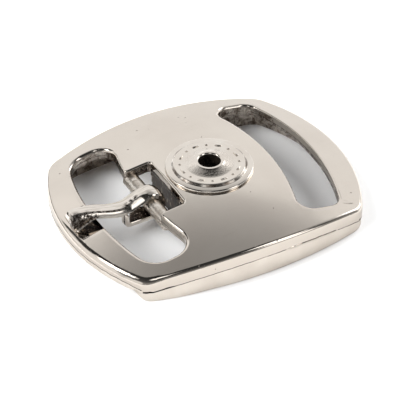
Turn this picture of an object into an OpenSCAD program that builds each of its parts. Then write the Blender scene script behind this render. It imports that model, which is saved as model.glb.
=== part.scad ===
// Shoe buckle: a domed one-piece cast frame with a strap slot, an opening with a bar across its
// notch, a prong on the bar and a round press cap. Millimetres. X runs along the strap with the
// prong at -X, Y runs across it, and Z = 0 is the surface that the buckle lies on.

/* [Frame] */
// Length along the strap
frame_l = 43; // [42:0.5:46]
// Width across the strap
frame_w = 35; // [34.5:0.5:38]
// Height of the crown above the table
crown_z = 6.85; // [6.6:0.05:7.4]
// Thickness of the domed plate
plate_t = 1.7; // [1.5:0.1:1.9]
// Height of the edge of the plate, down to the step in the side
edge_h = 2.1; // [1.9:0.1:2.3]
// Thickness of the skirt under the plate
skirt_t = 1.4; // [1.2:0.1:1.8]
// How far the skirt stands back from the edge of the plate
skirt_step = 0.15; // [0.1:0.05:0.3]
// Thickness of the rib under the plate behind the notch
rib_t = 1.2; // [1:0.1:1.4]
// Clearance under the prong end of the frame
end_lift = 1.4; // [1:0.1:1.5]

/* [Openings] */
// Width of the strap slot in the middle
slot_w = 6.6; // [6:0.1:6.8]
// Length of the strap slot
slot_l = 26.4; // [26:0.2:27]
// Width of the opening on the prong side in the middle
opening_w = 6.8; // [6.5:0.1:7]
// Length of the opening on the prong side
opening_l = 26.1; // [25.8:0.1:26.6]
// Width of the notch behind the bar
notch_w = 10.5; // [10:0.1:11]
// Width of the recess for the tip in the rim
recess_w = 5.6; // [5:0.1:6]

/* [Bar and prong] */
// Diameter of the bar
bar_d = 2.3; // [2:0.1:2.4]
// Gap between the bar and the eye
eye_gap = 0.05; // [0.04:0.01:0.08]
// Thickness of the prong's strip around the bar
strip_t = 0.9; // [0.7:0.05:1]
// Width of the eye
eye_w = 2.8; // [2.4:0.1:4]
// Width of the tongue
tongue_w = 2.3; // [1.7:0.1:2.6]

/* [Cap] */
// Diameter of the cap's flange
cap_d = 12.5; // [11.5:0.1:12.8]
// Diameter of the hole through the cap
cap_hole_d = 3.1; // [2.6:0.1:3.3]
// Height of the cap's lip above the crown
cap_lip_z = 1; // [0.8:0.05:1.2]

/* [Hidden] */
$fn = 128;
far = 60;

// Domed top: radii along X and along Y, and where its crown stands
dome_rx = 71;
dome_ry = 87.5;
dome_x = 0.45;

// Plan outline: arcs of the long sides and of the two ends, and the corner roundings
side_r = 60;
left_r = 27.9;
right_r = 27.25;
corner_r = 2.5;
skirt_corner_r = 4;

// Long edges of the openings are arcs: where they cross the X axis, and their radii
slot_x = 10.35;
slot_in_r = 38;
slot_out_r = 35;
opening_x = -10.15;
opening_in_r = 39.5;
opening_out_r = 39;
notch_x = -5.75;
notch_r = 0.6;
recess_z = 3.7;
rib_z = 1;

// Bar, which is also the hinge axis, and the loop of the prong around it
bar_x = -8.7;
bar_z = 4.1;
eye_r = bar_d / 2 + eye_gap;
eye_out = eye_r + strip_t;
loop_drop = 0.4;
loop_z = bar_z - loop_drop - eye_out;
neck_x = -12.7;

// Cap: centre, height of its seat on the plate and play on its seat
cap_x = 0.85;
seat_z = crown_z - 0.28;
cap_gap = 0.02;
shank_d = 5.2;
cap_hole_r = cap_hole_d / 2;

// Crossing point, on the +Y side, of two circles with centres a and b
function meet(a, ra, b, rb) =
    let (d = norm(b - a), u = (b - a) / d, k = (d * d + ra * ra - rb * rb) / (2 * d),
         h = sqrt(ra * ra - k * k), p = a + k * u, n = [-u.y, u.x])
    p + (n.y > 0 ? h : -h) * n;

// What rounding takes off a corner. c is the centre of the rounding, and u and v point from
// it to where the rounding meets the two edges
module corner_waste(c, u, v, r) {
    difference() {
        polygon([c, c + 1.5 * r * u, c + 3 * r * (u + v) / norm(u + v), c + 1.5 * r * v]);
        translate(c) circle(r, $fn = 96);
    }
}

// Barrel-shaped plan of the frame, brought in by g
module plan(g = 0, r = corner_r) {
    s = [0, frame_w / 2 - side_r];
    ends = [[[left_r - frame_l / 2, 0], left_r - g], [[frame_l / 2 - right_r, 0], right_r - g]];
    difference() {
        intersection() {
            translate(s) circle(side_r - g, $fn = 720);
            translate(-s) circle(side_r - g, $fn = 720);
            translate(ends[0][0]) circle(ends[0][1], $fn = 360);
            translate(ends[1][0]) circle(ends[1][1], $fn = 360);
        }
        for (e = ends, m = [0, 1]) mirror([0, m]) {
            c = meet(e[0], e[1] - r, s, side_r - g - r);
            corner_waste(c, (c - e[0]) / norm(c - e[0]), (c - s) / norm(c - s), r);
        }
    }
}

// Opening inside the arc through xo and outside the arc through xi, cut off straight at its ends
module arc_opening(xi, ri, xo, ro, l, r_in, r_out) {
    side = sign(xo - xi);
    a = [xi - side * ri, 0];
    b = [xo - side * ro, 0];
    difference() {
        intersection() {
            translate(b) circle(ro, $fn = 720);
            translate([side > 0 ? xi - 8 : xo - 8, -l / 2]) square([abs(xo - xi) + 16, l]);
        }
        translate(a) circle(ri, $fn = 720);
        for (m = [0, 1]) mirror([0, m]) {
            y1 = l / 2 - r_out;
            c1 = b + [side * sqrt(pow(ro - r_out, 2) - y1 * y1), y1];
            corner_waste(c1, [0, 1], (c1 - b) / norm(c1 - b), r_out);
            y2 = l / 2 - r_in;
            c2 = a + [side * sqrt(pow(ri + r_in, 2) - y2 * y2), y2];
            corner_waste(c2, [0, 1], (a - c2) / norm(a - c2), r_in);
        }
    }
}

// Notch behind the bar, open towards the prong's opening
module notch_plan() {
    x0 = opening_x - 2;
    translate([x0, -notch_w / 2]) square([notch_x - notch_r - x0, notch_w]);
    translate([x0, notch_r - notch_w / 2]) square([notch_x - x0, notch_w - 2 * notch_r]);
    for (s = [-1, 1]) translate([notch_x - notch_r, s * (notch_w / 2 - notch_r)]) circle(notch_r, $fn = 48);
}

// Everything under a surface that lies g below the domed top
module under_dome(g = 0) {
    translate([dome_x, 0, crown_z - dome_ry]) rotate([0, 90, 0]) rotate_extrude($fn = 360)
        intersection() {
            translate([dome_ry - dome_rx, 0]) circle(dome_rx - g, $fn = 720);
            translate([40, -40]) square([60, 80]);
        }
}

// Slab between two heights
module layer(z0, z1) {
    translate([0, 0, z0]) linear_extrude(z1 - z0) children();
}

// Box that lies symmetrically about the X axis
module bar_box(x0, x1, w, z0, z1) {
    translate([x0, -w / 2, z0]) cube([x1 - x0, w, z1 - z0]);
}

// Domed plate
module plate() {
    difference() {
        intersection() {
            layer(0, crown_z + 1) plan();
            under_dome();
        }
        under_dome(plate_t);
    }
}

// Edge of the plate, which is higher than the plate is thick
module edge_band() {
    difference() {
        intersection() {
            layer(0, crown_z + 1) difference() {
                plan();
                plan(skirt_step + skirt_t, skirt_corner_r - 1.2);
            }
            under_dome(plate_t / 2);
        }
        under_dome(edge_h);
    }
}

// Wall under the plate that the buckle stands on, cut away at the prong end
module skirt() {
    difference() {
        intersection() {
            layer(0, crown_z) difference() {
                plan(skirt_step, skirt_corner_r);
                plan(skirt_step + skirt_t, skirt_corner_r - 1.2);
            }
            under_dome(plate_t / 2);
        }
        x1 = 0.6 - frame_l / 2 + 4;
        rotate([90, 0, 0]) translate([0, 0, -far / 2]) linear_extrude(far)
            polygon([[-far, -1], [x1 + 1, -1], [x1, 0], [x1 - end_lift, end_lift], [-far, end_lift]]);
    }
}

// Rib that stiffens the inner edge of the notch
module rib() {
    intersection() {
        bar_box(notch_x - 0.5, notch_x + rib_t, notch_w, rib_z, crown_z);
        under_dome(plate_t / 2);
    }
}

module frame() {
    color("#DDD5CB") {
        difference() {
            union() {
                plate();
                edge_band();
                skirt();
                rib();
            }
            layer(-1, crown_z + 2)
                arc_opening(slot_x, slot_in_r, slot_x + slot_w, slot_out_r, slot_l, 2, 2.2);
            layer(-1, crown_z + 2)
                arc_opening(opening_x, opening_in_r, opening_x - opening_w, opening_out_r, opening_l, 2.6, 3.3);
            layer(-1, crown_z + 2) notch_plan();
            bar_box(-frame_l / 2 - 1, opening_x - opening_w / 2, recess_w, recess_z, crown_z);
            translate([cap_x, 0, seat_z]) cylinder(d = cap_d + 0.3, h = 3);
            translate([cap_x, 0, 0]) cylinder(d = shank_d + 2 * cap_gap, h = crown_z + 1);
        }
        translate([bar_x, -notch_w / 2 - 1, bar_z]) rotate([-90, 0, 0]) cylinder(d = bar_d, h = notch_w + 2);
    }
}

// Side view of the strip that is bent round the bar, with its eye and its turned-up tail
module loop_side() {
    difference() {
        union() {
            for (z = [bar_z, bar_z - loop_drop]) translate([bar_x, z]) circle(eye_out);
            translate([bar_x - eye_out, bar_z - loop_drop]) square([2 * eye_out, loop_drop]);
            leg = [neck_x, 4.15];
            polygon([leg, leg + [0.2, 0.75], [bar_x - 1.2, bar_z + 1.84], [bar_x, bar_z + eye_r], [bar_x - 1, bar_z + 0.9]]);
            translate([neck_x - 0.25, loop_z]) square([bar_x - neck_x + 0.25, strip_t]);
            translate([neck_x - 0.25, loop_z]) square([0.5, 2.2]);
        }
        for (z = [bar_z, bar_z - loop_drop]) translate([bar_x, z]) circle(eye_r);
        translate([bar_x - eye_r, bar_z - loop_drop]) square([2 * eye_r, loop_drop]);
    }
}

// Side view of the tongue: it rises from the neck, humps over the rim and dips into the recess
module tongue_side() {
    polygon([
        [neck_x + 0.5, 4.7], [-13.6, 4.95], [-15.2, 5.2], [-16.7, 5.75], [-18.2, 6.15], [-19.6, 6.4], [-20.5, 6.3],
        [-21.1, 5.8], [-21.2, 5.1], [-20.9, 4.3], [-20.4, recess_z + 0.08], [-20, recess_z + 0.1],
        [-19.1, 4.45], [-17.9, 5.1], [-16.8, 4.9], [-15.3, 4.2], [-13.7, 3.7], [neck_x, 3.4], [neck_x + 0.5, 3.75]
    ]);
}

module prong() {
    color("#D3CDC6") rotate([90, 0, 0]) {
        translate([0, 0, -eye_w / 2]) linear_extrude(eye_w) loop_side();
        translate([0, 0, -tongue_w / 2]) linear_extrude(tongue_w) tongue_side();
    }
}

module press_cap() {
    color("#E2DBD2") translate([cap_x, 0, 0]) rotate_extrude() {
        r = cap_d / 2;
        z0 = seat_z + cap_gap;
        under = crown_z - plate_t - 0.15;
        top = crown_z;
        polygon([
            [cap_hole_r, under - 0.6], [shank_d / 2 + 1.2, under - 0.6], [shank_d / 2 + 1.4, under - 0.3], [shank_d / 2 + 1.2, under],
            [shank_d / 2, under], [shank_d / 2, z0], [r - 0.15, z0], [r, z0 + 0.15], [r, top + 0.05], [r - 0.25, top + 0.22],
            [r - 1.02, top + 0.26], [r - 1.12, top + 0.5], [r - 1.3, top + 0.56], [3.45, top + 0.53],
            [2.1, top + cap_lip_z - 0.06], [2, top + cap_lip_z], [1.8, top + cap_lip_z], [cap_hole_r, top + cap_lip_z - 0.2]
        ]);
    }
}

frame();
prong();
press_cap();
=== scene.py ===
import math

import bmesh
import bpy
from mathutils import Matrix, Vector


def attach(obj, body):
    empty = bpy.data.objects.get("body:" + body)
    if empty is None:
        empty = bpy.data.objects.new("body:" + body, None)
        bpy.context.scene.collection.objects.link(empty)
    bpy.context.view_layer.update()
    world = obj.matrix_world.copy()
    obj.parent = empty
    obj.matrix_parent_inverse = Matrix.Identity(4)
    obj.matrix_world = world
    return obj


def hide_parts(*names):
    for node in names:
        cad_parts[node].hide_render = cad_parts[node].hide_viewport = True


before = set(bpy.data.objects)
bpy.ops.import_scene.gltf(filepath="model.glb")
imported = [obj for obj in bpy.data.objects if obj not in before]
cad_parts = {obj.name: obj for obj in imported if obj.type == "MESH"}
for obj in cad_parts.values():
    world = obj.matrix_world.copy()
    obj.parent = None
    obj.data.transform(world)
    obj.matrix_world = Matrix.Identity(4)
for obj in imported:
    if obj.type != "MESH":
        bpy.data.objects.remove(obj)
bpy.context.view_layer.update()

# Shoe buckle in nickel-plated metal. The pieces are drawn in millimetres, flat, and then domed and
# brought to metres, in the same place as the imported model. X runs along the strap with the prong at
# -X, Y runs across it, and Z = 0 is the table.
MM = 0.001

# Camera: the point that it looks at, its direction in degrees, its distance and its lens
AIM = Vector((-4.032, -6.303, 6.85))
AZIMUTH, ELEVATION, DISTANCE = -28.264, 37.786, 387.362
LENS = 252.93

# Outline: length, width, and the arcs of the long sides, the prong end, the slot end and the corners
LENGTH, WIDTH = 43.0, 35.0
SIDE_R, LEFT_R, RIGHT_R, CORNER = 60.0, 27.9, 27.25, 3.1
SIDE_C, LEFT_C, RIGHT_C = (0.0, WIDTH / 2 - SIDE_R), (LEFT_R - LENGTH / 2, 0.0), (LENGTH / 2 - RIGHT_R, 0.0)

# Dome: its highest point and its radii along and across the strap
CROWN, DOME_X = 6.85, 0.45
DOME_ALONG, DOME_ACROSS = 71.0, 87.5

# Plate, its thicker edge, and the skirt, which is set in by a step and lifts off the table at the
# prong end. SKIRT_FOOT is where the skirt ends while the frame is still flat.
PLATE, EDGE, SKIRT, STEP = 1.7, 2.1, 1.4, 0.15
SKIRT_CORNER, INNER_CORNER, SKIRT_FOOT = 3.2, 2.8, -10.0
END_LIFT, LIFT_X, LIFT_L, FLARE = 1.75, -16.6, 2.2, 0.22

# Rounding of the rim, and of its worn part, which starts at these places and over these lengths
EDGE_R, END_R = 0.5, 0.9
WORN_X, WORN_X_L, WORN_Y, WORN_Y_L = -13.5, 4.0, 3.5, 5.0

# Rounding of an opening's edge: usual, narrow and broad, and where it turns usual towards the ends
MOUTH_R, LIP_R, BROAD_R, MOUTH_END = 0.62, 0.32, 0.9, 12.6

# Seat of the cap, and the hole for its shank
CAP_X, SEAT_R, SHANK_HOLE_R, SEAT_Z = 0.85, 6.3, 2.62, 6.57

# Openings: length, and for each long edge its place on the X axis, its radius and its corner
OPENING_L, SLOT_L = 26.1, 26.4
OPENING_OUT_X, OPENING_OUT_R, OPENING_OUT_CORNER = -16.95, 39.0, 3.3
OPENING_IN_X, OPENING_IN_R, OPENING_IN_CORNER = -10.15, 39.5, 2.6
SLOT_IN_X, SLOT_IN_R, SLOT_IN_CORNER = 10.35, 38.0, 2.0
SLOT_OUT_X, SLOT_OUT_R, SLOT_OUT_CORNER = 16.95, 35.0, 2.2

# Notch behind the bar, the lips at its sides and its corners
NOTCH_HALF, NOTCH_X, NOTCH_LIP, NOTCH_CORNER = 5.25, -5.75, 0.45, 0.6

# Rib along the notch's back wall, and the top, foot and depth of the two steps in its face
RIB, RIB_TOP, RIB_FOOT = 1.16, -1.4, -9.0
RIB_STEPS = ((-2.35, -2.5, 0.14), (-3.6, -3.7, 0.1))

# Recess in the rim for the prong's tip: half its width, its floor, and half the width of its walls
RECESS_HALF, RECESS_Z, RECESS_WALL = 2.8, 3.7, 0.22

# Seam of the mould on the flat plate: its groove outside, and its two sides in an opening. The side
# below SEAM_TOP is then shifted, so that the groove lies SEAM_DROP under the dome, rises round the
# prong end, is heavy at the near corner there, and has the casting's flash left on it further on.
SEAM_Z, SEAM_HALF, SEAM_DEPTH, SEAM_TOP = -1.88, 0.05, 0.07, -0.5
SEAM_DROP, SEAM_RISE, RISE_X, RISE_L = 1.96, 0.72, -15.2, 4.2
WALL_SEAM_TOP, WALL_SEAM_FOOT = -1.06, -1.13
HEAVY_FROM, HEAVY_TO = -17.8, -12.6
FLASH_FROM, FLASH_TO, FLASH = 3.6, 12.5, 0.09

# Spacing of the cuts that let the flat plate take the dome
NET = 1.2

# The frame's materials, in the order of its slots
POLISHED, SEAM, CAST, DARK, BAR, LOWER = range(6)

# Bar, and the prong's eye, strip, extra height of the eye and widths
BAR_X, BAR_Z, BAR_R = -8.7, 4.1, 1.15
EYE_R, STRIP, DROP = 1.2, 0.9, 0.4
EYE_W, TONGUE_W = 2.8, 2.3

# Angles past which an edge is shaded sharp
SHARP, SHARP_STRIP = math.radians(38), math.radians(20)


# Small helpers

def linear(hex_colour):
    """sRGB hex to the linear colour that shaders take."""
    c = [int(hex_colour[i:i + 2], 16) / 255 for i in (1, 3, 5)]
    return tuple(x / 12.92 if x <= 0.04045 else ((x + 0.055) / 1.055) ** 2.4 for x in c) + (1.0,)


def clear_selection():
    if bpy.context.mode != "OBJECT":
        bpy.ops.object.mode_set(mode="OBJECT")
    bpy.ops.object.select_all(action="DESELECT")


def only(obj):
    clear_selection()
    obj.select_set(True)
    bpy.context.view_layer.objects.active = obj


def edit(obj, mode="VERT"):
    only(obj)
    bpy.ops.object.mode_set(mode="EDIT")
    bpy.ops.mesh.select_mode(type=mode)
    bpy.ops.mesh.select_all(action="DESELECT")


def select_all():
    bpy.ops.mesh.select_all(action="SELECT")


def done():
    bpy.ops.object.mode_set(mode="OBJECT")


def pick(obj, kind, test):
    """Selects the edges or the faces that pass test, in edit mode."""
    bm = bmesh.from_edit_mesh(obj.data)
    for item in getattr(bm, kind):
        if test(item):
            item.select_set(True)
    bmesh.update_edit_mesh(obj.data)


def apply(obj, kind, **settings):
    """Adds a modifier with its settings and applies it."""
    only(obj)
    mod = obj.modifiers.new(kind.title(), kind)
    for key, value in settings.items():
        setattr(mod, key, value)
    bpy.ops.object.modifier_apply(modifier=mod.name)


def add_object(name, data):
    obj = bpy.data.objects.new(name, data)
    bpy.context.scene.collection.objects.link(obj)
    return obj


def new_mesh(name, points, edges=()):
    clear_selection()
    mesh = bpy.data.meshes.new(name)
    mesh.from_pydata(points, edges, [])
    return add_object(name, mesh)


def join(parts, name):
    clear_selection()
    for p in parts:
        p.select_set(True)
    bpy.context.view_layer.objects.active = parts[0]
    bpy.ops.object.join()
    parts[0].name = parts[0].data.name = name
    return parts[0]


def into_mesh():
    """Moves the active object's place, turn and scale into its mesh."""
    bpy.ops.object.transform_apply()


def to_metres(obj):
    only(obj)
    bpy.ops.transform.resize(value=(MM, MM, MM), center_override=(0, 0, 0))
    into_mesh()


def face_outwards(obj):
    edit(obj, "FACE")
    select_all()
    bpy.ops.mesh.normals_make_consistent(inside=False)
    done()


def planes(axis, places):
    """Cutting planes square to the axis at the given places, each as a point and a normal."""
    normal = Vector([float(name == axis) for name in "XYZ"])
    return [(place * normal, normal) for place in places]


def slice_up(obj, region, cuts):
    """Cuts the faces in region by each plane."""
    edit(obj, "FACE")
    for point, normal in cuts:
        bpy.ops.mesh.select_all(action="DESELECT")
        pick(obj, "faces", region)
        bpy.ops.mesh.bisect(plane_co=point, plane_no=normal)
    done()


def everywhere(face):
    return True


def smooth(t):
    """Eases from 0 to 1 as t goes from 0 to 1."""
    t = min(1.0, max(0.0, t))
    return t * t * t * (t * (6 * t - 15) + 10)


# Drawing an outline with arcs

def pen(name, start):
    """A new mesh with one point, in edit mode, ready to be drawn on from there."""
    obj = new_mesh(name, [(start[0], start[1], 0.0)])
    edit(obj)
    select_all()
    return obj


def last_point():
    bm = bmesh.from_edit_mesh(bpy.context.object.data)
    return next(v for v in bm.verts if v.select).co.xy


def arc(centre, degrees, step=0.5):
    """Spins the last point about centre, anticlockwise for positive degrees, with points about a step
    apart."""
    r = (last_point() - Vector(centre)).length
    steps = max(2, round(abs(math.radians(degrees)) * r / step))
    bpy.ops.mesh.spin(steps=steps, angle=math.radians(degrees), center=(centre[0], centre[1], 0),
                      axis=(0, 0, -1))


def line(to):
    """Draws a straight line from the last point."""
    last = last_point()
    bpy.ops.mesh.extrude_region_move(TRANSFORM_OT_translate={"value": (to[0] - last.x, to[1] - last.y, 0)})


def angle(c, p):
    """Direction from c to p, in degrees."""
    return math.degrees(math.atan2(p[1] - c[1], p[0] - c[0]))


def meet(a, ra, b, rb):
    """Crossing point on the +Y side of two circles."""
    a, b = Vector(a), Vector(b)
    d = (b - a).length
    u = (b - a) / d
    k = (d * d + ra * ra - rb * rb) / (2 * d)
    h = math.sqrt(ra * ra - k * k)
    n = Vector((-u.y, u.x))
    return a + k * u + (h if n.y > 0 else -h) * n


def beside(centre, r, y, side):
    """Point at y and at r from a centre on the X axis, at its -X or +X side."""
    return (centre[0] + side * math.sqrt(r ** 2 - y ** 2), y)


def draw_rim(g, r, back=False):
    """Half of the barrel outline, brought in by g with corners of radius r, from +X round by +Y to
    -X, or the other way with back."""
    c1 = meet(RIGHT_C, RIGHT_R - g - r, SIDE_C, SIDE_R - g - r)
    c2 = meet(LEFT_C, LEFT_R - g - r, SIDE_C, SIDE_R - g - r)
    turns = [(RIGHT_C, 0, angle(RIGHT_C, c1), 0.5), (c1, angle(RIGHT_C, c1), angle(SIDE_C, c1), 0.22),
             (SIDE_C, angle(SIDE_C, c1), angle(SIDE_C, c2), 0.5),
             (c2, angle(SIDE_C, c2), angle(LEFT_C, c2), 0.22), (LEFT_C, angle(LEFT_C, c2), 180, 0.5)]
    for centre, start, stop, step in reversed(turns) if back else turns:
        arc(centre, (start - stop) if back else (stop - start), step)


def close_and_mirror(obj):
    """Joins the ends of the half outline, fills it and mirrors it across the X axis."""
    select_all()
    bpy.ops.mesh.remove_doubles(threshold=0.01)
    select_all()
    bpy.ops.mesh.edge_face_add()
    if bmesh.from_edit_mesh(obj.data).faces[:][0].normal.z < 0:
        bpy.ops.mesh.flip_normals()
    done()
    apply(obj, "MIRROR", use_axis=(False, True, False), merge_threshold=0.005)


# Heights and roundings of the frame

def dome(x, y):
    """Height of the domed top."""
    along = math.sqrt(DOME_ALONG ** 2 - (x - DOME_X) ** 2)
    return CROWN - DOME_ACROSS + math.sqrt((DOME_ACROSS - DOME_ALONG + along) ** 2 - y * y)


def top_surface(x, y):
    """The dome with the seat of the cap and the recess for the tip in it."""
    z = dome(x, y)
    if math.hypot(x - CAP_X, y) < SEAT_R - 0.05:
        return min(z, SEAT_Z)
    if x < OPENING_OUT_X + 1.5:
        into = smooth((RECESS_HALF + RECESS_WALL - abs(y)) / (2 * RECESS_WALL))
        z -= into * max(0.0, z - RECESS_Z)
    return z


def table_side(x):
    """Height of the lower edge of the skirt: on the table, and lifted at the prong end."""
    return END_LIFT * smooth((LIFT_X - x) / LIFT_L)


def long_edge(x, r, y):
    """X at y of a long edge of the prong opening."""
    return x + r - math.sqrt(r ** 2 - y * y)


def mouth_rounding(x, y):
    """Radius of the rounded upper edge of an opening: narrow along the wall that faces the prong end
    and in the notch, broad at the prong opening's outer side, and between those at the ends."""
    if x > 0:
        inside = SLOT_OUT_R - math.hypot(x - SLOT_OUT_X + SLOT_OUT_R, y)
        narrow = smooth((1.6 - inside) / 1.2) * smooth((MOUTH_END - abs(y)) / 2.0)
        return MOUTH_R + (LIP_R - MOUTH_R) * narrow
    before = long_edge(OPENING_IN_X, OPENING_IN_R, y) - x
    narrow = smooth((1.4 - before) / 1.2) * smooth((MOUTH_END - 0.3 - abs(y)) / 2.0)
    lip = LIP_R + 0.16 * smooth(abs(y) - NOTCH_HALF - 1.2)
    behind = x - long_edge(OPENING_OUT_X, OPENING_OUT_R, y)
    broad = smooth((1.5 - behind) / 0.8) * smooth((MOUTH_END - abs(y)) / 3.0)
    return MOUTH_R + (lip - MOUTH_R) * narrow + (BROAD_R - MOUTH_R) * broad


def edge_rounding(x, y):
    """Radius of the rounded edge of the plate, which is worn wider at the near half of the prong end."""
    worn = smooth((WORN_X - x) / WORN_X_L) * smooth((WORN_Y - y) / WORN_Y_L)
    return EDGE_R + (END_R - EDGE_R) * worn


def seam_drop(x, y):
    """How far the line where the halves of the mould met lies under the edge: at the step in the side,
    and higher round the prong end, with small jogs."""
    rise = smooth((RISE_X - x) / RISE_L)
    jog = 0.045 * math.sin(1.9 * x + 0.8 * y) + 0.035 * math.sin(4.3 * x - 1.7 * y)
    jog += 0.12 * smooth((-14.6 - x) / 0.15) * smooth((x + 16.4) / 0.3) * (y < 0)
    return SEAM_DROP - SEAM_RISE * rise + jog * (0.35 + 0.65 * rise)


# Places on the frame

def in_plan(p, g):
    """True if the point lies more than g inside the arcs of the outline."""
    arcs = ((SIDE_C, SIDE_R), (LEFT_C, LEFT_R), (RIGHT_C, RIGHT_R))
    return all(math.hypot(p.x - c[0], abs(p.y) - c[1]) < r - g for c, r in arcs)


def on_rim(p):
    return not in_plan(p, 0.3)


def on_outside(p):
    return not in_plan(p, 0.08)


def in_opening(p):
    """True well inside the rim, apart from the seat of the cap and what lies under it."""
    return in_plan(p, 2.0) and math.hypot(p.x - CAP_X, p.y) > SEAT_R + 0.05


def in_recess(c):
    """True well below the dome in the recess for the tip."""
    return (c.x < OPENING_OUT_X + 0.5 and abs(c.y) < RECESS_HALF + 0.05 and c.z < dome(c.x, c.y) - 0.25
            and in_plan(c, 0.6))


def is_level(face):
    return abs(face.normal.z) > 0.9


def is_steep(face):
    return abs(face.normal.z) < 0.3


def is_border(edge):
    """True for an edge between a level face and a steeper one."""
    faces = edge.link_faces
    return len(faces) == 2 and is_level(faces[0]) != is_level(faces[1])


# Frame

def draw_prong_opening():
    """Half of the prong opening, from the X axis and back to it: outer long edge, corners at the end,
    inner long edge, lip, and the notch behind the bar."""
    end = OPENING_L / 2
    outer, inner = (OPENING_OUT_X + OPENING_OUT_R, 0), (OPENING_IN_X + OPENING_IN_R, 0)
    c1 = beside(outer, OPENING_OUT_R - OPENING_OUT_CORNER, end - OPENING_OUT_CORNER, -1)
    c2 = beside(inner, OPENING_IN_R + OPENING_IN_CORNER, end - OPENING_IN_CORNER, -1)
    lip = beside(inner, OPENING_IN_R - NOTCH_LIP, NOTCH_HALF + NOTCH_LIP, -1)
    line((OPENING_OUT_X, 0))
    arc(outer, angle(outer, c1) - 180)
    arc(c1, 90 - angle(outer, c1), step=0.25)
    line((c2[0], end))
    arc(c2, angle(c2, inner) - 90, step=0.25)
    arc(inner, angle(inner, lip) - angle(inner, c2))
    arc(lip, 270 - angle(inner, lip), step=0.12)
    line((NOTCH_X - NOTCH_CORNER, NOTCH_HALF))
    arc((NOTCH_X - NOTCH_CORNER, NOTCH_HALF - NOTCH_CORNER), -90, step=0.12)
    line((NOTCH_X, 0))


def draw_slot():
    """Half of the strap slot, from the X axis and back to it: inner long edge, corners at the end, and
    outer long edge."""
    end = SLOT_L / 2
    inner, outer = (SLOT_IN_X - SLOT_IN_R, 0), (SLOT_OUT_X - SLOT_OUT_R, 0)
    c1 = beside(outer, SLOT_OUT_R - SLOT_OUT_CORNER, end - SLOT_OUT_CORNER, 1)
    c2 = beside(inner, SLOT_IN_R + SLOT_IN_CORNER, end - SLOT_IN_CORNER, 1)
    line((SLOT_IN_X, 0))
    arc(inner, angle(inner, c2))
    arc(c2, 90 - (180 + angle(inner, c2)), step=0.25)
    line((c1[0], end))
    arc(c1, angle(outer, c1) - 90, step=0.2)
    arc(outer, -angle(outer, c1))


def add_seat(obj):
    """Flat ring that the cap sits on, down to the hole for its shank."""
    ledge = SEAT_R - 0.1
    on_seat = lambda v: abs(math.hypot(v.co.x - CAP_X, v.co.y) - SEAT_R) < 0.01
    edit(obj, "EDGE")
    pick(obj, "edges", lambda e: all(on_seat(v) for v in e.verts))
    for k in (ledge / SEAT_R, SHANK_HOLE_R / ledge):
        bpy.ops.mesh.extrude_edges_move()
        bpy.ops.transform.resize(value=(k, k, 1), center_override=(CAP_X, 0, 0))
    done()


def plate_blank():
    """Flat plate with its openings: half is drawn, mirrored and given its thickness."""
    obj = pen("plate", (LENGTH / 2, 0))
    draw_rim(0, CORNER)
    draw_prong_opening()
    line((CAP_X - SEAT_R, 0))
    arc((CAP_X, 0), -180, step=0.4)
    draw_slot()
    line((LENGTH / 2, 0))
    close_and_mirror(obj)
    add_seat(obj)
    apply(obj, "SOLIDIFY", thickness=PLATE, offset=-1, use_even_offset=False)
    face_outwards(obj)
    return obj


def round_plate(obj):
    """Rounds the upper edges, more at the rim and at the outer sides of the openings than where the
    polishing wheel doesn't reach, and breaks the lower edges."""
    shank_hole = lambda e: math.hypot(e.verts[0].co.x - CAP_X, e.verts[0].co.y) < SEAT_R
    bm = bmesh.new()
    bm.from_mesh(obj.data)
    weight = bm.edges.layers.float.new("bevel_weight_edge")
    for e in bm.edges:
        p = (e.verts[0].co + e.verts[1].co) / 2
        if is_border(e) and not shank_hole(e) and p.z > -0.01:
            e[weight] = (edge_rounding(p.x, p.y) if on_rim(p) else mouth_rounding(p.x, p.y)) / END_R
    bm.to_mesh(obj.data)
    bm.free()
    apply(obj, "BEVEL", limit_method="WEIGHT", width=END_R, segments=8, profile=0.5,
          use_clamp_overlap=False, harden_normals=False)
    edit(obj, "EDGE")
    pick(obj, "edges", lambda e: is_border(e) and all(v.co.z < 0.01 - PLATE for v in e.verts)
         and not on_rim(e.verts[0].co) and not shank_hole(e))
    bpy.ops.mesh.bevel(offset=0.15, offset_type="OFFSET", segments=2, profile=0.5, affect="EDGES",
                       clamp_overlap=False)
    done()


def ring_wall(name, g, r, top, bottom, rounding):
    """Ring along the outline, from g inside it to the inner side of the skirt: half is drawn, mirrored
    and given its height, and its lower outer edge is rounded."""
    outer, inner = LENGTH / 2 - g, LENGTH / 2 - STEP - SKIRT
    height = top - bottom
    obj = pen(name, (outer, 0))
    draw_rim(g, r)
    line((-inner, 0))
    draw_rim(STEP + SKIRT, INNER_CORNER, back=True)
    line((outer, 0))
    close_and_mirror(obj)
    apply(obj, "SOLIDIFY", thickness=height, offset=-1, use_even_offset=False)
    face_outwards(obj)
    edit(obj, "EDGE")
    pick(obj, "edges", lambda e: is_border(e) and all(v.co.z < 0.1 - height for v in e.verts)
         and not in_plan(e.verts[0].co, g + SKIRT / 2))
    bpy.ops.mesh.bevel(offset=rounding, segments=3, profile=0.5, affect="EDGES", clamp_overlap=False)
    select_all()
    bpy.ops.transform.translate(value=(0, 0, top))
    done()
    return obj


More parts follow.
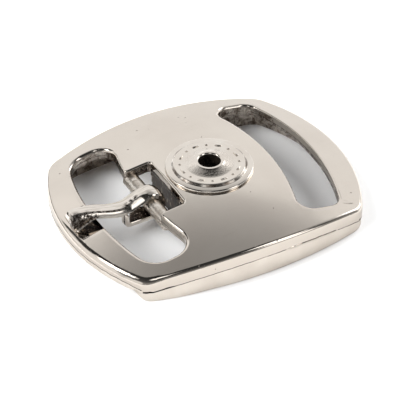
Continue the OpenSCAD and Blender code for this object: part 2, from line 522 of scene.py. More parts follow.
def notch_rib():
    """Rib that stiffens the plate's edge behind the notch, with two small steps in its face."""
    clear_selection()
    middle = (NOTCH_X + 0.02 + RIB / 2, 0, (RIB_TOP + RIB_FOOT) / 2)
    bpy.ops.mesh.primitive_cube_add(size=1, location=middle)
    rib = bpy.context.object
    bpy.ops.transform.resize(value=(RIB, 2 * NOTCH_HALF, RIB_TOP - RIB_FOOT))
    into_mesh()
    slice_up(rib, everywhere, planes("Z", [z for top, foot, _ in RIB_STEPS for z in (top, foot)]))
    for v in rib.data.vertices:
        if v.co.x < NOTCH_X + 0.1:
            v.co.x += sum(depth for top, foot, depth in RIB_STEPS if v.co.z < (top + foot) / 2)
    edit(rib, "EDGE")
    pick(rib, "edges", lambda e: all(v.co.z < RIB_FOOT + 0.1 for v in e.verts))
    bpy.ops.mesh.bevel(offset=0.15, segments=2, profile=0.5, affect="EDGES", clamp_overlap=False)
    done()
    return rib


def finish_of(face):
    """Material of a face while the frame is flat. The walls of the openings, past where the polishing
    wheel reaches, and the underside keep the rough skin of the casting, which is partly painted shade.
    The seam gets its painted shade line, and the notch's back wall the painted shade of the hollows."""
    c, steep = face.center, is_steep(face)
    if not in_plan(c, 0.5):
        flash = c.y < 0 and FLASH_FROM < c.x < FLASH_TO
        if steep and abs(c.z - SEAM_Z) < SEAM_HALF and not flash:
            return SEAM
        return LOWER if c.z < SEAM_Z else POLISHED
    if steep and c.z < WALL_SEAM_FOOT and -0.1 < c.x - NOTCH_X < 0.5 and abs(c.y) < NOTCH_HALF:
        return DARK
    if steep and WALL_SEAM_FOOT < c.z < WALL_SEAM_TOP and in_opening(c):
        return SEAM
    unpolished = face.normal.z < -0.3 or c.z < -PLATE or (steep and c.z < -0.5)
    rough = abs(face.normal.y) > 0.4 or c.z < -1.6 or (c.x > 14.5 and c.z < -0.7)
    return CAST if unpolished and rough else POLISHED


def seam_place(x, y, h):
    """Where a point at height h of the flat frame's outside goes, so that the seam follows its line:
    its new height, and how far it is sunk in."""
    drop = seam_drop(x, y)
    if abs(h - SEAM_Z) < SEAM_HALF + 0.01:
        heavy = 1.0 + 2.2 * smooth((x - HEAVY_FROM) / 0.8) * smooth((HEAVY_TO - x) / 1.5) * (y < 0)
        flash = smooth((x - FLASH_FROM) / 0.5) * smooth((FLASH_TO - x) / 0.5) * (y < 0)
        groove = SEAM_DEPTH if abs(h - SEAM_Z) < 0.01 else 0.0
        return -drop + (h - SEAM_Z) * (heavy + 2.0 * flash), groove - FLASH * flash
    if h > SEAM_Z:
        return SEAM_TOP - (h - SEAM_TOP) * (drop + SEAM_TOP) / (SEAM_Z - SEAM_TOP), 0.0
    low = EDGE - 0.33 * smooth((-15.5 - x) / 4.0)
    return -drop + (h - SEAM_Z) * (low - drop) / (EDGE + SEAM_Z), 0.0


def cut_seams(obj):
    """The line where the mould's halves met: a groove round the outside, and a band in the openings' walls;
    both get the seam's painted shade.
    """
    slice_up(obj, lambda f: is_steep(f) and on_outside(f.calc_center_median()),
             planes("Z", (SEAM_Z + SEAM_HALF, SEAM_Z, SEAM_Z - SEAM_HALF)))
    slice_up(obj, lambda f: is_steep(f) and in_opening(f.calc_center_median()),
             planes("Z", (WALL_SEAM_TOP, WALL_SEAM_FOOT)))
    for f in obj.data.polygons:
        f.material_index = finish_of(f)
    moves = []
    for v in obj.data.vertices:
        x, y, h = v.co
        if on_outside(v.co) and -EDGE - 0.05 < h < SEAM_TOP - 0.02:
            z, sunk = seam_place(x, y, h)
            moves.append((v.index, (x - sunk * v.normal.x, y - sunk * v.normal.y, z)))
    for k, co in moves:
        obj.data.vertices[k].co = co


def cut_net(plate):
    """A net of cuts, so that the flat plate can take the dome, and close cuts at the recess."""
    slice_up(plate, everywhere, planes("X", [k * NET for k in range(-17, 18)]))
    slice_up(plate, everywhere, planes("Y", [k * NET for k in range(-14, 15)]))
    near_tip = lambda f: f.calc_center_median().x < -15.6 and abs(f.calc_center_median().y) < 3.6
    walls = (-RECESS_WALL, -0.13, -0.06, 0, 0.06, 0.13, RECESS_WALL)
    for side in (-1, 1):
        slice_up(plate, near_tip, planes("Y", [side * (RECESS_HALF + d) for d in walls]))
    slice_up(plate, near_tip, planes("X", (-20.9, -20.75, -20.5, -20.1)))


def raise_to_dome(plate):
    """Lifts the flat plate to the dome, and gives the skirt its lower edge and its slight flare."""
    for v in plate.data.vertices:
        x, y, h = v.co
        if h > -0.7:
            v.co.z = top_surface(x, y) + h
        elif h > -5:
            v.co.z = dome(x, y) + h
        else:
            v.co.z = table_side(x) + h - SKIRT_FOOT
            v.co.y += math.copysign(FLARE * smooth((-7 - x) / 6), y)


def cast_bar(mat):
    """Bar across the notch, cast in one with the plate."""
    clear_selection()
    bpy.ops.mesh.primitive_cylinder_add(vertices=48, radius=BAR_R, depth=2 * NOTCH_HALF + 1.0,
                                        location=(BAR_X, 0, BAR_Z), rotation=(math.pi / 2, 0, 0))
    bar = bpy.context.object
    into_mesh()
    slice_up(bar, everywhere, planes("Y", range(-5, 6)))
    bar.data.materials.append(mat)
    return bar


def build_frame(materials):
    plate = plate_blank()
    round_plate(plate)
    for wall in (ring_wall("edge", 0, CORNER, top=-1.0, bottom=-EDGE, rounding=0.1),
                 ring_wall("skirt", STEP, SKIRT_CORNER, top=-1.2, bottom=SKIRT_FOOT, rounding=0.2),
                 notch_rib()):
        apply(plate, "BOOLEAN", object=wall, operation="UNION", solver="EXACT")
        bpy.data.objects.remove(wall)
    for mat in materials:
        plate.data.materials.append(mat)
    cut_seams(plate)
    cut_net(plate)
    raise_to_dome(plate)
    # The recess under the tip gets the painted shade of the hollows.
    for f in plate.data.polygons:
        if in_recess(f.center):
            f.material_index = DARK
    body = join([plate, cast_bar(materials[BAR])], "buckle_frame")
    only(body)
    bpy.ops.object.shade_smooth_by_angle(angle=SHARP)
    apply(body, "WEIGHTED_NORMAL", mode="FACE_AREA_WITH_ANGLE", weight=50, keep_sharp=True)
    return body


# Prong

# Side view: a point of the outer side, and the point of the inner side across from it
TAIL_SIDE = [
    (-12.95, 3.82, -12.5, 3.72), (-13.0, 3.3, -12.42, 3.2), (-13.02, 2.5, -12.4, 2.75),
    (-12.97, 1.95, -12.3, 2.58), (-12.8, 1.7, -12.15, 2.5), (-12.4, 1.6, -11.9, 2.5),
    (-11.2, 1.6, -11.2, 2.5), (-10.0, 1.6, -10.0, 2.5)]
TONGUE_SIDE = [
    (-9.85, 5.98, -9.47, 5.02), (-10.3, 5.84, -9.95, 5.0), (-10.9, 5.6, -10.6, 4.84),
    (-11.6, 5.3, -11.3, 4.55), (-12.15, 5.06, -11.9, 4.28), (-12.6, 4.92, -12.45, 4.03),
    (-13.1, 4.88, -13.0, 3.84), (-13.7, 4.93, -13.6, 3.78), (-14.4, 5.05, -14.4, 3.95),
    (-15.2, 5.24, -15.2, 4.16), (-16.0, 5.49, -16.0, 4.42), (-16.8, 5.76, -16.8, 4.72),
    (-17.6, 5.98, -17.5, 4.92), (-18.4, 6.17, -18.2, 4.86), (-19.2, 6.31, -18.9, 4.55),
    (-19.9, 6.37, -19.6, 4.2), (-20.5, 6.31, -20.3, 3.8), (-20.85, 6.15, -20.55, 3.85),
    (-21.08, 5.88, -20.8, 4.12), (-21.19, 5.5, -21.0, 4.5)]

# Cross-section of the outer side: share of the half width and drop from the side view, near to far
LOOP_FACE = [(-1, 0.3), (-0.85, 0.13), (-0.45, 0.03), (0, 0), (0.45, 0.03), (0.85, 0.13), (1, 0.3)]
LEG_FACE = [(-1, 0.7), (-0.86, 0.52), (-0.27, 0.0), (0, 0), (0.45, 0.03), (0.85, 0.13), (1, 0.3)]
TONGUE_FACE = [(-1, 0.58), (-0.8, 0.17), (-0.52, 0.0), (0, 0), (0.5, 0.0), (0.9, 0.02), (1, 0.09)]
NOSE_FACE = [(-1, 0.7), (-0.72, 0.2), (-0.42, 0.03), (0, 0), (0.4, 0.03), (0.8, 0.14), (1, 0.4)]

# Where the leg, the neck, the nose and the tail's taper start, and over what length they come in
LEG_X, LEG_L = -9.3, 0.9
NECK_X, NECK_L = -12.1, 0.9
NOSE_X, NOSE_L, NOSE_EXTRA = -17.2, 2.2, 0.1
TAPER_X, TAPER_L, TAPER = -10.8, 1.4, 1.9


def blend(a, b, t):
    return [(p[0] + (q[0] - p[0]) * t, p[1] + (q[1] - p[1]) * t) for p, q in zip(a, b)]


def prong_section(ox, oz, ix, iz, on_top):
    """The twelve points of the strip's cross-section at one place of its side view. The tail, which
    isn't on top, tapers at its far side."""
    leg = smooth((LEG_X - ox) / LEG_L) if on_top else 0.0
    neck = smooth((NECK_X - ox) / NECK_L) if on_top else 0.0
    nose = smooth((NOSE_X - ox) / NOSE_L)
    face = blend(LOOP_FACE, LEG_FACE, leg)
    face = blend(blend(face, TONGUE_FACE, neck), NOSE_FACE, nose)
    half = (EYE_W + (TONGUE_W - EYE_W) * neck + NOSE_EXTRA * nose) / 2
    thick = math.hypot(ix - ox, iz - oz)
    lip = 0.1 * nose + 0.02
    far = half if on_top else half - TAPER * smooth((TAPER_X - ix) / TAPER_L)
    points = [(share * (half if share < 0 else far), drop) for share, drop in face]
    points += [(far, thick - 0.12), (far - 0.12, thick), (0.1 - half, thick),
               (-half - lip, thick - 0.1), (-half, thick - 0.14 - 1.2 * lip)]
    return [(ox + (ix - ox) * d / thick, y, oz + (iz - oz) * d / thick) for y, d in points]


def prong_path():
    """Every cross-section from the turned-up tail, under and round the bar, and over to the tip. The
    eye is a round one cut in half level with the bar, with its lower half moved down."""
    path = [prong_section(*place, False) for place in TAIL_SIDE]
    for k in range(-9, 12):
        c, s = math.cos(math.radians(10 * k)), math.sin(math.radians(10 * k))
        for low in ((DROP, 0.0) if k == 0 else (DROP,) if k < 0 else (0.0,)):
            path.append(prong_section(BAR_X + (EYE_R + STRIP) * c, BAR_Z - low + (EYE_R + STRIP) * s,
                                      BAR_X + EYE_R * c, BAR_Z - low + EYE_R * s, k >= 9))
    return path + [prong_section(*place, True) for place in TONGUE_SIDE]


def inside_loop(f):
    """True for the inner side of the strip, round the bar and between the two legs."""
    x, z = f.center.x, f.center.z
    if abs(f.normal.y) > 0.5 or x < -12.6 or x > BAR_X + EYE_R + 0.1:
        return False
    off = math.hypot(x - BAR_X, z - BAR_Z + DROP * (z < BAR_Z))
    if x > BAR_X:
        return off < EYE_R + 0.15
    return (f.normal.z > 0.3 and z < 3.2) or (f.normal.z < -0.3 and z > 3.6) or off < EYE_R + 0.1


def build_prong():
    """The cross-section of the tail is extruded along the side view, and takes its new shape at each
    step."""
    path = prong_path()
    clear_selection()
    bpy.ops.mesh.primitive_circle_add(vertices=len(path[0]), fill_type="NGON")
    prong = bpy.context.object
    prong.name = prong.data.name = "buckle_prong"
    for v, at in zip(prong.data.vertices, path[0]):
        v.co = at
    edit(prong, "FACE")
    select_all()
    for was, now in zip(path, path[1:]):
        bpy.ops.mesh.extrude_region_move()
        bm = bmesh.from_edit_mesh(prong.data)
        for v in [v for v in bm.verts if v.select]:
            k = min(range(len(was)), key=lambda i: (v.co - Vector(was[i])).length)
            v.co = now[k]
        bmesh.update_edit_mesh(prong.data)
    face_outwards(prong)
    apply(prong, "BEVEL", limit_method="ANGLE", angle_limit=SHARP_STRIP, width=0.05, segments=2,
          profile=0.5, use_clamp_overlap=True)
    only(prong)
    bpy.ops.object.shade_smooth_by_angle(angle=SHARP_STRIP)
    return prong


# Press cap

BORE_R = 1.55
CAP_PROFILE = [  # radius, height, rounding
    (BORE_R, 4.4, 0), (3.8, 4.4, 0.12), (4.0, 4.7, 0.1), (3.8, 5.0, 0.08), (2.6, 5.0, 0.1),
    (2.6, 6.59, 0), (6.2, 6.59, 0.03), (6.25, 6.66, 0.04), (6.25, 7.08, 0.22), (5.36, 7.1, 0.05),
    (5.08, 7.38, 0.06), (4.9, 7.41, 0.05), (3.4, 7.38, 0.2), (2.16, 7.78, 0.12), (2.04, 7.85, 0.06),
    (1.7, 7.85, 0.06), (BORE_R, 7.72, 0.08)]

# Ring of marks: how many, their radius and height, and the length, width and height of each kind
MARKS, MARKS_R, MARKS_Z = 16, 4.2, 7.38
DASH, DOT = (1.0, 0.42, 0.3), (0.42, 0.42, 0.28)


def half_section(name, points):
    """Closed outline in the XZ plane through (x, z, rounding), with its corners rounded."""
    n = len(points)
    obj = new_mesh(name, [(x, 0, z) for x, z, _ in points], [(i, (i + 1) % n) for i in range(n)])
    for x, z, rounding in points:
        if rounding:
            edit(obj)
            bm = bmesh.from_edit_mesh(obj.data)
            min(bm.verts, key=lambda v: (v.co - Vector((x, 0, z))).length).select_set(True)
            bmesh.update_edit_mesh(obj.data)
            bpy.ops.mesh.bevel(offset=rounding, segments=4, profile=0.5, affect="VERTICES")
            done()
    return obj


def raised_mark(length, width, height):
    """One small raised mark, rounded all over, that stands at the +X side of the ring."""
    clear_selection()
    bpy.ops.mesh.primitive_cube_add(size=1, location=(CAP_X + MARKS_R, 0, MARKS_Z))
    mark = bpy.context.object
    bpy.ops.transform.resize(value=(width, length, height))
    into_mesh()
    apply(mark, "BEVEL", width=0.45 * min(width, height, length), segments=2, profile=0.5)
    return mark


def ring_of_marks():
    """Plain dashes and dots in turn on the ring."""
    marks = []
    for k in range(MARKS):
        turn = -math.tau * k / MARKS
        mark = raised_mark(*(DOT if k % 2 else DASH))
        only(mark)
        bpy.ops.transform.rotate(value=turn, orient_axis="Z", center_override=(CAP_X, 0, 0))
        into_mesh()
        marks.append(mark)
    return marks


def build_cap():
    """Stamped cap: its half section is drawn, its corners are rounded and it is spun."""
    cap = half_section("buckle_cap", [(CAP_X + r, z, rounding) for r, z, rounding in CAP_PROFILE])
    edit(cap)
    select_all()
    bpy.ops.mesh.spin(steps=96, angle=math.tau, center=(CAP_X, 0, 0), axis=(0, 0, 1))
    select_all()
    bpy.ops.mesh.remove_doubles(threshold=0.002)
    face_outwards(cap)
    cap = join([cap] + ring_of_marks(), "buckle_cap")
    only(cap)
    bpy.ops.object.shade_smooth_by_angle(angle=SHARP)
    return cap


def in_bore(f):
    return math.hypot(f.center.x - CAP_X, f.center.y) < BORE_R + 0.01 and f.center.z < 7.6


# Nodes of the materials

def add(tree, kind, links=(), **settings):
    """Adds a node with its settings and links. A setting is a property or an input's value, and a
    link is (output socket of another node, name of this node's input)."""
    node = tree.nodes.new(kind)
    for key, value in settings.items():
        if hasattr(node, key):
            setattr(node, key, value)
        else:
            node.inputs[key.replace("_", " ")].default_value = value
    for source, name in links:
        tree.links.new(source, node.inputs[name])
    return node


def calc(tree, operation, a, b):
    """One step of arithmetic on two values, each a socket or a number."""
    node = add(tree, "ShaderNodeMath", operation=operation)
    for k, v in enumerate((a, b)):
        if isinstance(v, (int, float)):
            node.inputs[k].default_value = v
        else:
            tree.links.new(v, node.inputs[k])
    return node.outputs["Value"]


def multiply(tree, a, b):
    return calc(tree, "MULTIPLY", a, b)


def levels(tree, source, low, high, to_low=0.0, to_high=1.0):
    """Takes source from between low and high to between to_low and to_high, and holds it at the ends."""
    return add(tree, "ShaderNodeMapRange", [(source, "Value")], From_Min=low, From_Max=high, To_Min=to_low,
               To_Max=to_high).outputs[0]


def near(tree, value, middle, half, soft):
    """1 where value is within half of middle, in mm, and fading to 0 over its softness."""
    off = calc(tree, "ABSOLUTE", calc(tree, "SUBTRACT", value, middle * MM), 0.0)
    return levels(tree, off, half * MM, (half + soft) * MM, 1.0, 0.0)


def spot(tree, place, centre, radius, soft):
    """A round mask: 1 within radius of centre, in mm, and fading to 0 over its softness."""
    off = add(tree, "ShaderNodeVectorMath", [(place, 0)], operation="DISTANCE")
    off.inputs[1].default_value = [c * MM for c in centre]
    return levels(tree, off.outputs["Value"], radius * MM, (radius + soft) * MM, 1.0, 0.0)


def noise(tree, place, size_mm, detail=2.0, roughness=0.5, stretch=None, distortion=0.0):
    """Noise with lumps of the given size, longer along an axis where stretch is less than 1."""
    if stretch:
        place = add(tree, "ShaderNodeMapping", [(place, "Vector")], Scale=stretch).outputs[0]
    return add(tree, "ShaderNodeTexNoise", [(place, "Vector")], Scale=1 / (size_mm * MM), Detail=detail,
               Roughness=roughness, Distortion=distortion).outputs["Fac"]


def mix(tree, amount, a, b):
    """Mixes two colours, each a hex value or a socket."""
    node = add(tree, "ShaderNodeMix", data_type="RGBA")
    for k, v in ((0, amount), (6, a), (7, b)):
        if isinstance(v, str):
            node.inputs[k].default_value = linear(v)
        else:
            tree.links.new(v, node.inputs[k])
    return node.outputs[2]


def bump(tree, height, microns, under=None):
    """Relief that stands the given height in thousandths of a millimetre."""
    links = [(height, "Height")] + ([(under, "Normal")] if under else [])
    return add(tree, "ShaderNodeBump", links, Strength=1.0, Distance=microns * 1e-6).outputs[0]


def xyz(tree, place):
    return add(tree, "ShaderNodeSeparateXYZ", [(place, "Vector")]).outputs


def shader(name):
    """A new material with a principled shader, and what its pattern is drawn on: the piece in metres."""
    mat = bpy.data.materials.new(name)
    mat.use_nodes = True
    tree = mat.node_tree
    tree.nodes.clear()
    bsdf = add(tree, "ShaderNodeBsdfPrincipled")
    add(tree, "ShaderNodeOutputMaterial", [(bsdf.outputs[0], "Surface")])
    return mat, tree, add(tree, "ShaderNodeTexCoord").outputs["Object"]


def coat(mat, colour, metallic, roughness, normal):
    """Gives the shader its look and returns the material. A number is set on the shader's own socket,
    and a pattern is linked to it."""
    bsdf = next(node for node in mat.node_tree.nodes if node.type == "BSDF_PRINCIPLED")
    for name, value in (("Base Color", colour), ("Metallic", metallic), ("Roughness", roughness),
                        ("Normal", normal)):
        if isinstance(value, float):
            bsdf.inputs[name].default_value = value
        else:
            mat.node_tree.links.new(value, bsdf.inputs[name])
    return mat


# Materials

def plated_casting():
    """Bright nickel over a polished zinc casting. It gives warm, nearly mirror-like reflections that
    swim a little where the wheel left the face uneven, hairlines from wear and a few open pits. The
    steep sides get a darker colour as painted shade."""
    mat, tree, place = shader("bright nickel plate on polished zinc casting")
    haze = noise(tree, place, 9.0, 3.0)
    hairs = levels(tree, noise(tree, place, 0.5, 3.0, 0.6, (0.06, 1.0, 1.0), 0.4), 0.66, 0.72)
    pits = levels(tree, noise(tree, place, 0.6, 0.0), 0.865, 0.88)
    upward = xyz(tree, add(tree, "ShaderNodeTexCoord").outputs["Normal"])["Z"]
    side = levels(tree, calc(tree, "ABSOLUTE", upward, 0.0), 0.25, 0.7, 1.0, 0.0)
    tone = mix(tree, levels(tree, haze, 0.35, 0.7), "#DDD5CB", "#D6CDC3")
    tone = mix(tree, multiply(tree, hairs, 0.12), tone, "#B9AFA6")
    # Painted shade: steep faces are mixed towards the darker #BDB4AA.
    tone = mix(tree, pits, mix(tree, side, tone, "#BDB4AA"), "#4A4139")
    rough = calc(tree, "ADD", levels(tree, haze, 0.3, 0.75, 0.07, 0.13), multiply(tree, pits, 0.3))
    waves = bump(tree, noise(tree, place, 5.0, 1.0), 16.0)
    grain = bump(tree, noise(tree, place, 0.7, 2.0), 0.9, waves)
    return coat(mat, tone, 1.0, rough, bump(tree, pits, -30.0, grain))


def casting_skin(name, light, dark, darkening, relief):
    """Thin plating over the casting's own skin, which no wheel reached. It gives a mottled and uneven
    sheen with dark grit. In the openings its dark brown is partly the skin and partly painted shade;
    on the bar it is paler."""
    mat, tree, place = shader(name)
    blotch = noise(tree, place, 1.1, 4.0, 0.65, distortion=0.6)
    grit = noise(tree, place, 0.35, 3.0, 0.6)
    tone = mix(tree, levels(tree, blotch, 0.38, 0.62), light, dark)
    tone = mix(tree, levels(tree, grit, 0.6, 0.75, 0.0, darkening), tone, "#3B332D")
    lumps = bump(tree, blotch, relief)
    return coat(mat, tone, 1.0, levels(tree, blotch, 0.35, 0.7, 0.2, 0.42),
                bump(tree, grit, relief / 4, lumps))


def satin_skirt():
    """The same nickel on the set-in lower side, which was only brushed. It gives an even, soft and
    rather pale sheen without a clear mirror image."""
    mat, tree, place = shader("satin nickel on the lower side")
    haze = noise(tree, place, 4.0, 3.0)
    grain = noise(tree, place, 0.35, 2.0)
    tone = mix(tree, levels(tree, haze, 0.35, 0.7), "#D8D0C6", "#CFC6BC")
    return coat(mat, tone, 1.0, levels(tree, haze, 0.3, 0.75, 0.46, 0.54),
                bump(tree, grain, 3.0, bump(tree, haze, 20.0)))


def painted_shade_in_hollows():
    """Painted shade in the hollows: the notch's back wall, the recess under the tip and the inside of
    the prong's loop. It gives a brownish black with a few light vertical streaks as painted glints,
    and a lighter, less metallic strip along the recess's near rim as painted light."""
    mat, tree, place = shader("painted shade in a hollow")
    patch = noise(tree, place, 0.7, 4.0, 0.65)
    # Painted glints: light streaks, longer up and down.
    painted_glints = levels(tree, noise(tree, place, 0.34, 2.0, 0.5, (1.0, 1.0, 0.22)), 0.6, 0.68)
    at = xyz(tree, place)
    # Painted light: a lighter, less metallic strip along the recess's near rim.
    unshaded = multiply(tree, levels(tree, at["Y"], -2.0 * MM, -2.25 * MM),
                     levels(tree, at["X"], -16.2 * MM, -16.8 * MM))
    tone = mix(tree, levels(tree, patch, 0.4, 0.62), "#1C1612", "#4E4238")
    tone = mix(tree, unshaded, mix(tree, painted_glints, tone, "#A79B8F"), "#A3917F")
    return coat(mat, tone, levels(tree, unshaded, 0.0, 1.0, 1.0, 0.35),
                levels(tree, patch, 0.35, 0.7, 0.3, 0.5), bump(tree, patch, 30.0))


def seam_shade():
    """Painted shade in the line where the mould's halves met. It gives a thin dark line that
    lightens in patches, but not at the prong end."""
    mat, tree, place = shader("painted shade in the seam of the casting")
    # Where the seam's painted shade lightens: in patches, and not at the prong end.
    unshaded = multiply(tree, levels(tree, noise(tree, place, 2.6, 3.0, 0.6), 0.5, 0.6),
                     levels(tree, xyz(tree, place)["X"], -12.5 * MM, -10.5 * MM))
    return coat(mat, mix(tree, unshaded, "#1F1A17", "#A89E93"), 1.0, levels(tree, unshaded, 0.0, 1.0, 0.55, 0.2),
                bump(tree, noise(tree, place, 0.3, 2.0), 25.0))


# Darkened spots of the prong along its near edge and over the neck, partly wear and partly painted shade:
# place, radius and softness in mm
WORN_AND_SHADED = [((-20.4, -1.0, 5.3), 0.9, 0.6), ((-18.9, -1.0, 5.4), 0.9, 0.3), ((-21.1, -0.8, 5.2), 0.4, 0.3),
        ((-17.5, -1.0, 5.1), 0.4, 0.3), ((-12.8, -0.8, 4.6), 0.35, 0.3), ((-12.3, -0.3, 4.95), 0.25, 0.3),
        ((-11.7, -0.2, 5.25), 0.2, 0.3), ((-10.9, -0.1, 5.6), 0.2, 0.3)]

# Places in X and Z of the spots along the nose's lower near edge that are left out of the darkened spots
BRIGHT_EDGE = [(-20.1, 3.95), (-19.5, 4.25), (-18.9, 4.5), (-18.3, 4.75), (-17.7, 4.85), (-17.1, 4.8)]


def prong_wear_and_shade(tree, place):
    """Masks of where the strip is darkened, partly as wear and partly as painted shade, and of a painted
    dark reflection line along the tongue's cut near side.
    """
    worn = 0.0
    for centre, radius, soft in WORN_AND_SHADED:
        worn = calc(tree, "MAXIMUM", worn, spot(tree, place, centre, radius, soft))
    for x, z in BRIGHT_EDGE:
        bright = spot(tree, place, (x, -1.25, z), 0.28, 0.08)
        worn = multiply(tree, worn, calc(tree, "SUBTRACT", 1.0, bright))
    at = xyz(tree, place)
    painted_dark_line = multiply(tree, near(tree, at["Y"], -0.76, 0.12, 0.08),
                    levels(tree, at["X"], -12.9 * MM, -12.4 * MM, 1.0, 0.0))
    return worn, painted_dark_line


def plated_strip():
    """Nickel over bent steel strip, plated without being polished. It gives a bright back with lines
    along the strip, dark rough patches that are partly wear where it was bent and partly painted
    shade, and a painted dark reflection line along the tongue's cut near side."""
    mat, tree, place = shader("nickel plate on bent steel strip")
    lines = noise(tree, place, 0.3, 2.0, 0.5, (0.1, 1.0, 0.3))
    blotch = noise(tree, place, 0.45, 3.0, 0.6, distortion=0.5)
    worn, painted_dark_line = prong_wear_and_shade(tree, place)
    # Partly painted shade: the darkened spots and the painted dark reflection line mix towards #3A332E.
    stain_and_shade = multiply(tree, calc(tree, "MAXIMUM", worn, painted_dark_line), levels(tree, blotch, 0.4, 0.52))
    stain_and_shade = calc(tree, "MAXIMUM", stain_and_shade, multiply(tree, painted_dark_line, 0.7))
    tone = mix(tree, levels(tree, lines, 0.4, 0.7), "#DFD8CF", "#C9C0B6")
    rough = calc(tree, "ADD", levels(tree, lines, 0.4, 0.7, 0.08, 0.16), multiply(tree, stain_and_shade, 0.35))
    ridges = bump(tree, lines, 2.5)
    return coat(mat, mix(tree, stain_and_shade, tone, "#3A332E"), 1.0, rough,
                bump(tree, multiply(tree, worn, blotch), -8.0, ridges))


def plated_stamping():
    """Bright nickel on stamped brass sheet. It gives the cleanest reflections of the three, with faint
    rings from the die, a satin slope round the hole and a patchy darker ring in the step."""
    mat, tree, place = shader("bright nickel plate on stamped brass")
    middle = add(tree, "ShaderNodeMapping", [(place, "Vector")], Location=(-CAP_X * MM, 0, 0)).outputs[0]
    flat = add(tree, "ShaderNodeVectorMath", [(middle, 0)], operation="MULTIPLY")
    flat.inputs[1].default_value = (1, 1, 0)
    radius = add(tree, "ShaderNodeVectorMath", [(flat.outputs[0], 0)], operation="LENGTH").outputs["Value"]
    rings = calc(tree, "SINE", multiply(tree, radius, math.tau / (0.35 * MM)), 0.0)
    step = near(tree, radius, 5.2, 0.1, 0.1)
    # A patchy darker ring in the step.
    darkening = multiply(tree, step, levels(tree, noise(tree, place, 1.4, 3.0), 0.4, 0.6))
    slope = multiply(tree, levels(tree, radius, 2.0 * MM, 2.3 * MM),
                     levels(tree, radius, 3.3 * MM, 3.6 * MM, 1.0, 0.0))
    worn = multiply(tree, slope, levels(tree, noise(tree, place, 0.3, 2.0), 0.35, 0.6))
    haze = noise(tree, place, 3.0, 3.0)
    tone = mix(tree, levels(tree, haze, 0.35, 0.7), "#E0D9D0", "#D8CFC5")
    rough = calc(tree, "ADD", levels(tree, haze, 0.3, 0.75, 0.06, 0.13), multiply(tree, worn, 0.22))
    rough = calc(tree, "ADD", rough, multiply(tree, step, 0.16))
    dents = bump(tree, noise(tree, place, 1.6, 2.0), 9.0)
    return coat(mat, mix(tree, darkening, tone, "#6E645B"), 1.0, rough,
                bump(tree, rings, 0.25, bump(tree, worn, 6.0, dents)))


def bore_shade():
    """Painted shade inside the cap's hole. It gives a dull black."""
    mat, tree, place = shader("painted shade in the bore")
    patch = noise(tree, place, 0.8, 3.0)
    return coat(mat, mix(tree, levels(tree, patch, 0.4, 0.65), "#12100E", "#2E2721"), 0.6,
                levels(tree, patch, 0.3, 0.7, 0.5, 0.75), bump(tree, patch, 20.0))


def white_card():
    """Matt white card of a photographer's table: even, with a very faint tooth."""
    mat, tree, place = shader("matt white card")
    tooth = noise(tree, place, 1.2, 3.0)
    return coat(mat, mix(tree, tooth, "#FDFDFD", "#FAFBFC"), 0.0, 0.9, bump(tree, tooth, 10.0))


# Camera, floor and light

# Brightness of the tent's back and of its front, from low down to straight up: each stop is the sine
# of an elevation, and a brightness. The back's counts BACK_TOP as straight up.
BACK_TOP = 84
BACK = [(0.0, 1.02), (0.67, 1.02), (0.724, 0.93), (0.759, 0.68), (0.814, 0.52), (0.854, 0.43),
        (0.889, 0.36), (0.927, 0.33), (0.943, 0.05), (1.0, 0.05)]
FRONT = [(0.0, 0.45), (0.35, 0.3), (0.5, 0.12), (0.8, 0.05), (1.0, 0.03)]

# Soft boxes round the table: azimuth, elevation, half width in degrees, brightness
BOXES = [(232, 62, 7.5, 1.9), (161, 38, 9, 5.5), (14, 30, 13, 2.6), (316, 50, 10, 2.6), (306, 25, 11, 2.0),
         (192, 10, 16, 0.7), (155, 8, 20, 0.8), (104, 43, 13, 0.09)]

# Middle azimuth of the back, and where the dark hem along its foot and the dark gap in it are
BACK_AT, HEM_AT, GAP_AT = 62, 120, (132, 41)

# Lamps that light the card: azimuth, elevation and power in watts, with their size and distance
LAMPS = [(172, 42, 2.2), (8, 42, 1.8), (180, 15, 3.0)]
LAMP_SIZE, LAMP_FAR = 0.4, 0.5


def direction(azimuth, elevation):
    """Unit vector from the middle of the table, with azimuth from +X towards +Y."""
    a, e = math.radians(azimuth), math.radians(elevation)
    return Vector((math.cos(a) * math.cos(e), math.sin(a) * math.cos(e), math.sin(e)))


def set_camera():
    back = direction(AZIMUTH - 90, ELEVATION)
    data = bpy.data.cameras.new("camera")
    data.sensor_width, data.lens, data.clip_start = 36.0, LENS, 0.01
    cam = add_object("camera", data)
    cam.location = (AIM + back * DISTANCE) * MM
    cam.rotation_euler = (-back).to_track_quat("-Z", "Y").to_euler()
    bpy.context.scene.camera = cam


def set_floor():
    clear_selection()
    bpy.ops.mesh.primitive_plane_add(size=3.0, location=(0, 0, 0))
    floor = bpy.context.object
    floor.name = "floor"
    floor.data.materials.append(white_card())


def ramp(tree, source, stops):
    """Grey ramp with its stops, each a position and a brightness."""
    node = add(tree, "ShaderNodeValToRGB", [(source, "Fac")])
    while len(node.color_ramp.elements) < len(stops):
        node.color_ramp.elements.new(0.5)
    for element, (position, grey) in zip(node.color_ramp.elements, stops):
        element.position, element.color = position, (grey, grey, grey, 1)
    return node.outputs["Color"]


def toward(tree, azimuth, elevation):
    """How far the looked-at direction is towards the given one: 1 straight at it, 0 a right angle off."""
    looked_at = add(tree, "ShaderNodeTexCoord").outputs["Generated"]
    dot = add(tree, "ShaderNodeVectorMath", [(looked_at, 0)], operation="DOT_PRODUCT")
    dot.inputs[1].default_value = direction(azimuth, elevation)
    return dot.outputs["Value"]


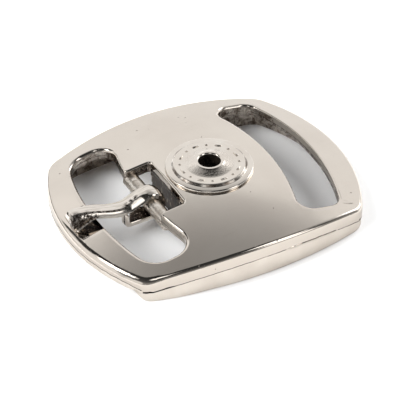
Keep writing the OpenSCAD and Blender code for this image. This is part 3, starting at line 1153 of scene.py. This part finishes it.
def set_world():
    """A light tent: its back is white up to the height of its walls and darker above, its front is
    grey, there is a dark gap and a dark hem at the left, and soft boxes stand round it."""
    world = bpy.data.worlds.new("light tent")
    bpy.context.scene.world = world
    world.use_nodes = True
    tree = world.node_tree
    tree.nodes.clear()
    height = toward(tree, 0, 90)
    is_back = ramp(tree, toward(tree, BACK_AT, 0), [(0.16, 0.0), (0.3, 1.0)])
    is_front = calc(tree, "SUBTRACT", 1.0, is_back)
    light = calc(tree, "ADD", multiply(tree, ramp(tree, toward(tree, 0, BACK_TOP), BACK), is_back),
                 multiply(tree, ramp(tree, height, FRONT), is_front))
    hem = multiply(tree, ramp(tree, height, [(0.0, 0.92), (0.13, 0.92), (0.17, 0.0)]),
                   ramp(tree, toward(tree, HEM_AT, 0), [(0.88, 0.0), (0.94, 1.0)]))
    gap = ramp(tree, toward(tree, *GAP_AT), [(0.958, 0.0), (0.975, 0.95)])
    light = multiply(tree, light, calc(tree, "SUBTRACT", 1.0, calc(tree, "MAXIMUM", hem, gap)))
    for azimuth, elevation, half, brightness in BOXES:
        edge = math.cos(math.radians(half))
        stops = [(edge - 0.01, 0.0), (min(edge + 0.01, 0.999), 1.0)]
        box = ramp(tree, toward(tree, azimuth, elevation), stops)
        light = calc(tree, "ADD", light, multiply(tree, box, brightness))
    shade = add(tree, "ShaderNodeBackground", [(light, "Strength")], Color=(1, 1, 1, 1))
    add(tree, "ShaderNodeOutputWorld", [(shade.outputs[0], "Surface")])


def side_lamp(azimuth, elevation, power):
    """A soft lamp over one end of the table, which lights the card and isn't mirrored."""
    back = direction(azimuth, elevation)
    data = bpy.data.lights.new("side lamp", "AREA")
    data.shape, data.size, data.energy = "DISK", LAMP_SIZE, power
    lamp = add_object("side lamp", data)
    lamp.location = back * LAMP_FAR
    lamp.rotation_euler = back.to_track_quat("Z", "Y").to_euler()
    lamp.visible_glossy = False


# The whole

bpy.context.scene.view_settings.view_transform = "Standard"
set_camera()
set_floor()
set_world()
for lamp in LAMPS:
    side_lamp(*lamp)

# Painted shade for the frame's hollows and the inside of the prong's loop.
hollow = painted_shade_in_hollows()
# Partly painted shade: the walls of the openings and the underside get this dark brown skin.
rough_skin_and_shade = casting_skin("nickel over the rough skin of the zinc casting", "#CFC6BC", "#6B5F55", 0.7, 90.0)
pale_skin = casting_skin("satin nickel on the unpolished bar", "#E0DAD1", "#B9AEA2", 0.35, 20.0)
body = build_frame([plated_casting(), seam_shade(), rough_skin_and_shade, hollow, pale_skin, satin_skirt()])
to_metres(body)
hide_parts("frame")
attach(body, "buckle")

prong = build_prong()
prong.data.materials.clear()
prong.data.materials.append(plated_strip())
# The inside of the loop gets the painted shade.
prong.data.materials.append(hollow)
for f in prong.data.polygons:
    f.material_index = inside_loop(f)
to_metres(prong)
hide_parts("prong")
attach(prong, "prong")

cap = build_cap()
cap.data.materials.append(plated_stamping())
# The bore gets the painted shade.
cap.data.materials.append(bore_shade())
for f in cap.data.polygons:
    f.material_index = in_bore(f)
to_metres(cap)
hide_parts("press_cap")
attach(cap, "buckle")
